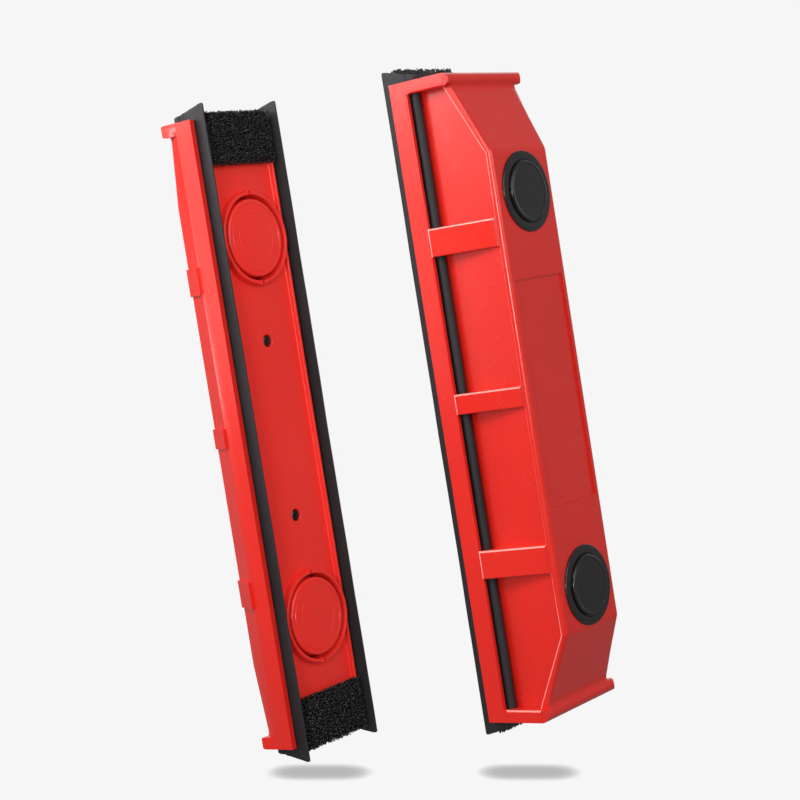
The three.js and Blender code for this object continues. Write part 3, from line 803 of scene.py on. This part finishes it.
# ---------------------------------------------------------------- CAD nodes that stay: magnets and backing discs
for h in HALVES:
    for end, _ in ENDS:
        for part, material in (("magnet_", NICKEL), ("backing_disc_", DISC_STEEL)):
            node = frame["nodes"][h.label + "_" + part + end]
            node.data.materials.clear()
            node.data.materials.append(material)
            bevel = node.modifiers.new("edge", "BEVEL")
            bevel.width, bevel.segments, bevel.limit_method, bevel.angle_limit = 0.0003, 2, "ANGLE", math.radians(40)
            node.modifiers.new("smooth", "WEIGHTED_NORMAL")
for n, o in frame["nodes"].items():
    if not o.hide_render and not (n.find("magnet_upper") > 0 or n.find("magnet_lower") > 0 or n.find("backing_disc") > 0):
        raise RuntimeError("CAD node %s still shows its plain solid" % n)


# ---------------------------------------------------------------- camera at the photograph's angle
RIGHT = Vector((0.60327, -0.78181, -0.15761))
DOWN = Vector((-0.13781, 0.09246, -0.98613))
AHEAD = Vector((0.78554, 0.61663, -0.05197))
EYE = Vector((-0.6735, -0.5308, 0.0493))
FOCAL = 1936.48
camera = bpy.data.objects.new("camera", bpy.data.cameras.new("camera"))
link(camera)
camera.data.sensor_width = 36.0
camera.data.lens = FOCAL / 800 * 36
camera.data.clip_start, camera.data.clip_end = 0.01, 20.0
camera.matrix_world = Matrix(((RIGHT.x, -DOWN.x, -AHEAD.x, EYE.x), (RIGHT.y, -DOWN.y, -AHEAD.y, EYE.y), (RIGHT.z, -DOWN.z, -AHEAD.z, EYE.z), (0, 0, 0, 1)))
bpy.context.scene.camera = camera


def at_pixel(x, y, depth):
    return EYE + RIGHT * ((x - 400) / FOCAL * depth) + DOWN * ((y - 400) / FOCAL * depth) + AHEAD * depth


# ---------------------------------------------------------------- stage: pale floor, level in the photograph's view
PALE = (0.9216, 0.9216, 0.9216)
tilt = math.radians(11.5)
up = -DOWN * math.cos(tilt) - AHEAD * math.sin(tilt)
deep = AHEAD * math.cos(tilt) - DOWN * math.sin(tilt)
middle = at_pixel(430, 772, 0.866)
ring, verts, faces = 96, [], []
for r in (0.0, 0.12, 0.3, 0.7, 1.6, 4.0):
    if r == 0.0:
        verts.append(tuple(middle))
        continue
    for k in range(ring):
        a = 2 * math.pi * k / ring
        verts.append(tuple(middle + RIGHT * (r * math.cos(a)) + deep * (r * math.sin(a))))
faces += [(0, 1 + k, 1 + (k + 1) % ring) for k in range(ring)]
for j in range(4):
    b = 1 + j * ring
    faces += [(b + k, b + ring + k, b + ring + (k + 1) % ring, b + (k + 1) % ring) for k in range(ring)]
floor = make("floor", verts, faces)
n = Nodes("floor_pale")
# painted contact shade: the glowing floor colour is darkened where the AO node finds the halves close above it
painted_contact_shade = n.add("ShaderNodeAmbientOcclusion", samples=12)
painted_contact_shade.inputs["Distance"].default_value = 0.008
tone = n.mix(1.0, PALE, n.ramp(painted_contact_shade.outputs["AO"], (0.2, 0.80), (0.9, 1.0)), "MULTIPLY")


def dot(vector, row):
    d = n.add("ShaderNodeVectorMath", operation="DOT_PRODUCT")
    n.link(vector, d.inputs[0])
    d.inputs[1].default_value = row
    return d.outputs["Value"]


for body, px_x, wide in (("rear_half", 320, 0.0250), ("front_half", 529, 0.0246)):      # a soft round shadow under the foot of each half, which moves with it
    spot = at_pixel(px_x, 773.5, 0.866)
    spot = spot - up * up.dot(spot - middle)
    near = n.add("ShaderNodeTexCoord", object=frame["bodies"][body]).outputs["Object"]
    away = n.add("ShaderNodeVectorMath", operation="SUBTRACT")
    n.link(near, away.inputs[0])
    away.inputs[1].default_value = spot
    a, b = dot(away.outputs[0], RIGHT / wide), dot(away.outputs[0], deep / 0.0112)
    wide_share = n.add("ShaderNodeMapRange", interpolation_type="SMOOTHSTEP")
    n.link(n.sum(n.sum(n.sum(a, a, "MULTIPLY"), 2.0, "POWER"), n.sum(b, b, "MULTIPLY")), wide_share.inputs["Value"])
    for k, v in (("From Min", 0.02), ("From Max", 1.0), ("To Min", 0.52), ("To Max", 1.0)):
        wide_share.inputs[k].default_value = v
    tone = n.mix(1.0, tone, wide_share.outputs["Result"], "MULTIPLY")
glow = n.add("ShaderNodeEmission")
n.link(tone, glow.inputs["Color"])
seen = n.add("ShaderNodeLightPath").outputs["Is Camera Ray"]
n.link(n.spread(seen, 0.0, 1.0, 0.26, 1.0), glow.inputs["Strength"])
n.link(glow.outputs[0], n.out.inputs["Surface"])
floor.data.materials.append(n.mat)


# ---------------------------------------------------------------- plain soft studio light
world = bpy.data.worlds.new("studio")
bpy.context.scene.world = world
world.use_nodes = True
wt = world.node_tree
wt.nodes.clear()
out = wt.nodes.new("ShaderNodeOutputWorld")
pale, dim = wt.nodes.new("ShaderNodeBackground"), wt.nodes.new("ShaderNodeBackground")
pale.inputs["Color"].default_value = (*PALE, 1)
dim.inputs["Color"].default_value = (1.0, 1.0, 1.0, 1)
where = wt.nodes.new("ShaderNodeTexCoord")
lean = wt.nodes.new("ShaderNodeVectorMath")
lean.operation = "DOT_PRODUCT"
wt.links.new(where.outputs["Generated"], lean.inputs[0])
lean.inputs[1].default_value = (0.50, -0.62, 0.30)      # the room is lighter in front, to the right and above
level = wt.nodes.new("ShaderNodeMapRange")
for k, v in (("From Min", -0.9), ("From Max", 0.9), ("To Min", 0.10), ("To Max", 0.36)):
    level.inputs[k].default_value = v
wt.links.new(lean.outputs["Value"], level.inputs["Value"])
behind = wt.nodes.new("ShaderNodeVectorMath")      # and the pale backdrop stands behind the object
behind.operation = "DOT_PRODUCT"
wt.links.new(where.outputs["Generated"], behind.inputs[0])
behind.inputs[1].default_value = AHEAD
backdrop = wt.nodes.new("ShaderNodeMapRange")
backdrop.interpolation_type = "SMOOTHSTEP"
for k, v in (("From Min", 0.50), ("From Max", 0.75), ("To Min", 0.0), ("To Max", 0.75)):
    backdrop.inputs[k].default_value = v
wt.links.new(behind.outputs["Value"], backdrop.inputs["Value"])
total = wt.nodes.new("ShaderNodeMath")
wt.links.new(level.outputs["Result"], total.inputs[0])
wt.links.new(backdrop.outputs["Result"], total.inputs[1])
wt.links.new(total.outputs["Value"], dim.inputs["Strength"])
path, pick = wt.nodes.new("ShaderNodeLightPath"), wt.nodes.new("ShaderNodeMixShader")
wt.links.new(path.outputs["Is Camera Ray"], pick.inputs[0])
wt.links.new(dim.outputs[0], pick.inputs[1])
wt.links.new(pale.outputs[0], pick.inputs[2])
wt.links.new(pick.outputs[0], out.inputs["Surface"])


def softbox(name, at, width, height, power, aim=(0, 0, 0)):
    data = bpy.data.lights.new(name, "AREA")
    data.shape, data.size, data.size_y, data.energy = "RECTANGLE", width, height, power
    o = link(bpy.data.objects.new(name, data))
    o.location = at
    o.rotation_mode = "QUATERNION"
    o.rotation_quaternion = (Vector(aim) - Vector(at)).to_track_quat("-Z", "Y")
    return o


softbox("key_left", (-0.31, 0.10, 0.26), 0.36, 0.16, 1.5, (0, -0.03, 0.02))
softbox("low_left", (-0.92, -0.36, 0.10), 0.20, 0.20, 3.0)
softbox("strip_back", (-0.50, 0.75, -0.02), 0.14, 0.80, 3.0)
softbox("panel_back", (-0.76, 0.66, 0.10), 0.28, 0.60, 0.5)
softbox("panel_top", (-0.80, 0.33, 0.27), 0.42, 0.24, 0.3)
softbox("fill_front", (-0.33, -0.95, 0.43), 0.7, 0.7, 5.4)
bpy.context.scene.view_settings.view_transform = "Standard"
bpy.context.scene.view_settings.look = "None"
